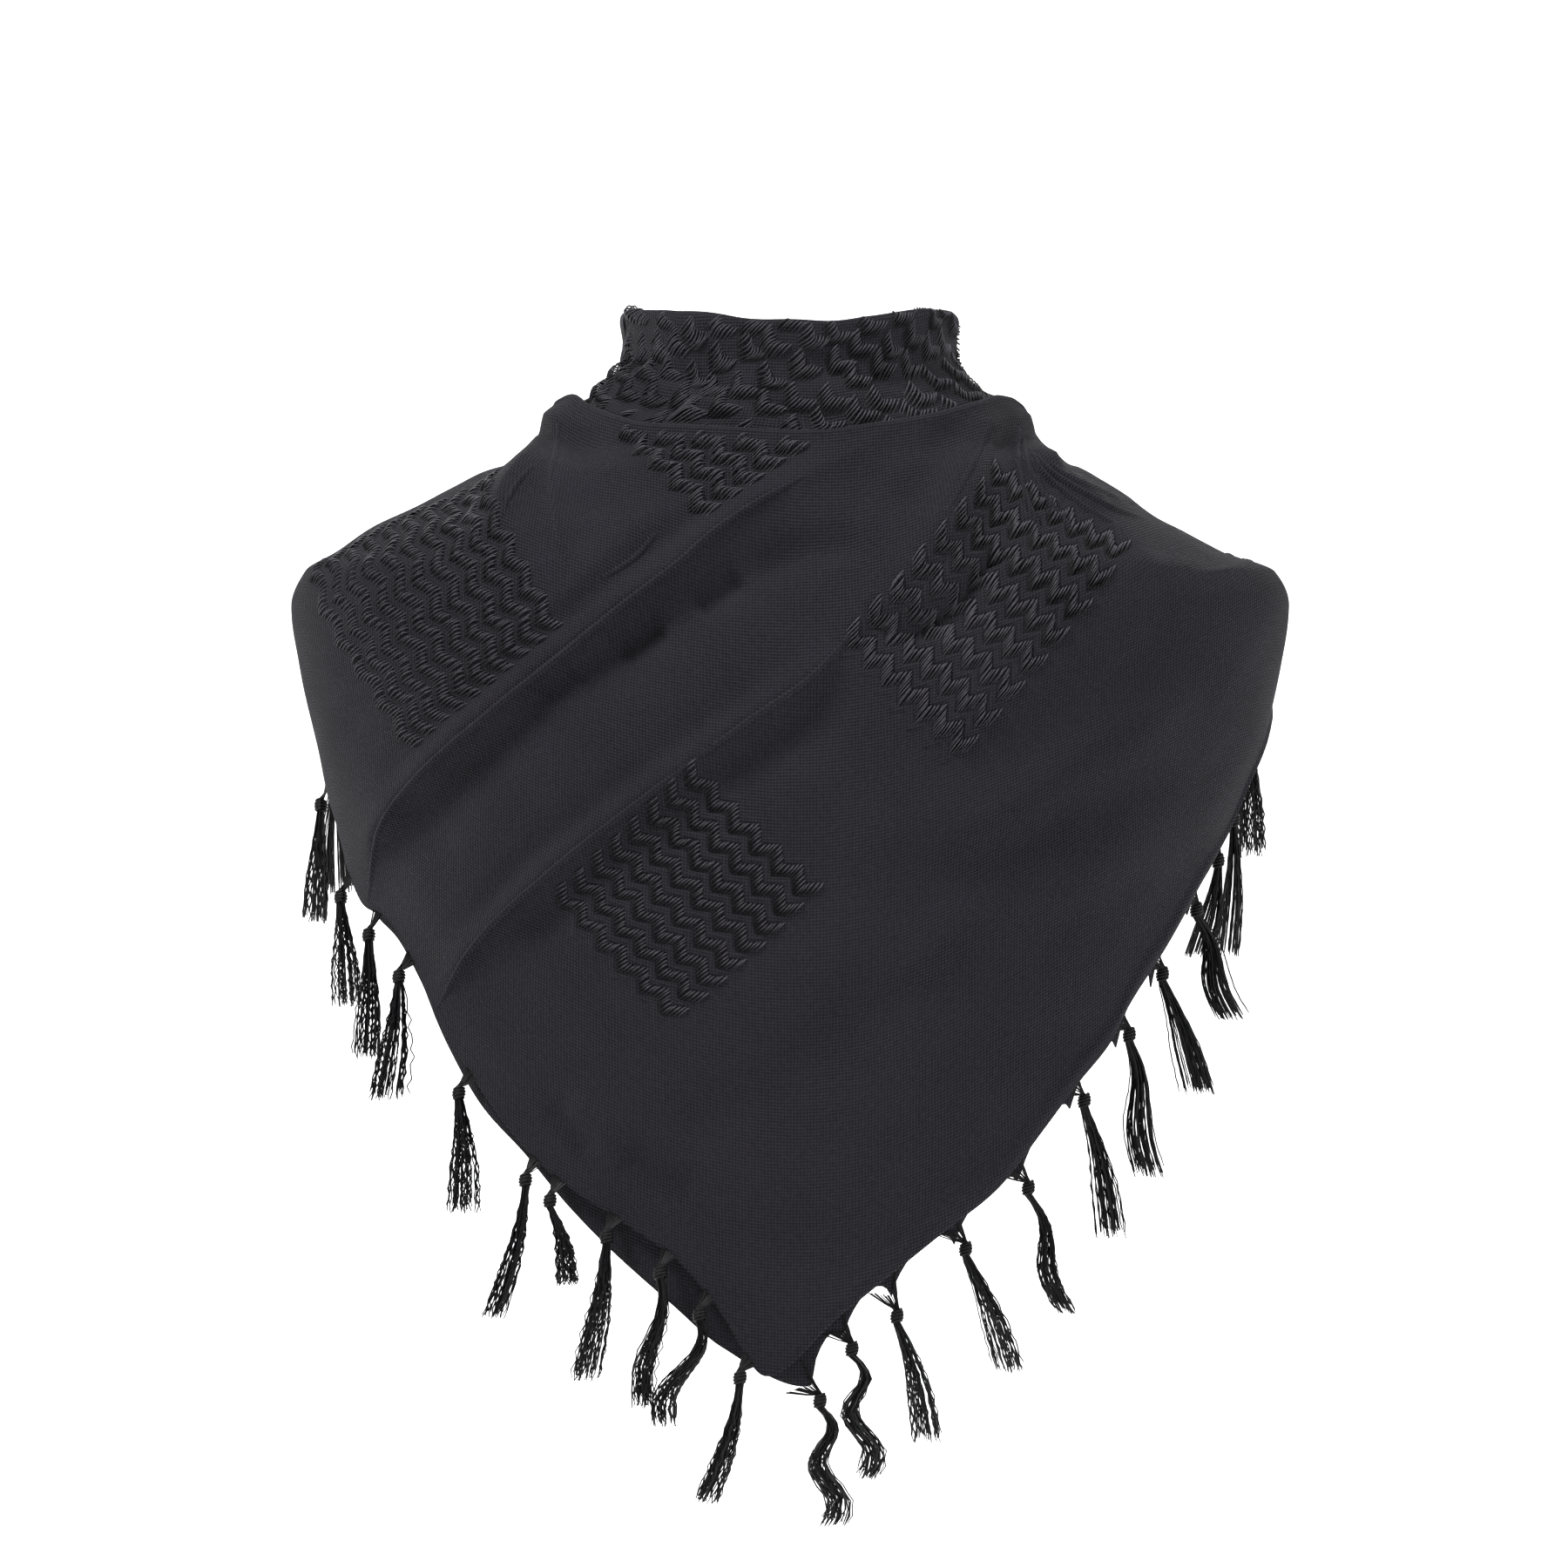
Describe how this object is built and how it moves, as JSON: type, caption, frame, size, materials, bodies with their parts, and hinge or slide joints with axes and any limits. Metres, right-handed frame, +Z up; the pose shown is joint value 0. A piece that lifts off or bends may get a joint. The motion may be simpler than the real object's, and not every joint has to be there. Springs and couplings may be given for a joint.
{
  "type": "keffiyeh scarf worn round the neck",
  "caption": "Square cotton scarf folded on its diagonal and wound round the neck, with raised float blocks and a fringe of knotted tassels.",
  "frame": {"origin": "middle of the neck opening, level with the valley where the neck band meets the drape at the front", "axes": "+Z up, -Y out of the chest (front), +X to the wearer's left, which is the right side of the front view"},
  "size_m": [0.469, 0.2646, 0.5552],
  "materials": {
    "cloth": "near-black plain-woven cotton with a soft sheen and raised thread floats",
    "yarn": "black twisted cotton yarn, slightly glossy"
  },
  "bodies": {
    "root": {"neck_band": "cloth", "drape_front": "cloth", "drape_under": "cloth", "wrap_left": "cloth", "wrap_right": "cloth", "tassel_01": "yarn", "tassel_02": "yarn", "tassel_03": "yarn", "tassel_04": "yarn", "tassel_05": "yarn", "tassel_06": "yarn", "tassel_07": "yarn", "tassel_08": "yarn", "tassel_09": "yarn", "tassel_10": "yarn", "tassel_11": "yarn", "tassel_12": "yarn", "tassel_13": "yarn", "tassel_14": "yarn", "tassel_15": "yarn", "tassel_16": "yarn", "tassel_17": "yarn", "tassel_18": "yarn", "tassel_19": "yarn", "tassel_20": "yarn", "tassel_21": "yarn", "tassel_22": "yarn", "tassel_23": "yarn", "tassel_24": "yarn", "tassel_25": "yarn", "tassel_26": "yarn", "tassel_27": "yarn", "tassel_28": "yarn", "tassel_29": "yarn", "tassel_30": "yarn", "tassel_31": "yarn", "tassel_32": "yarn", "tassel_33": "yarn"}
  },
  "joints": []
}
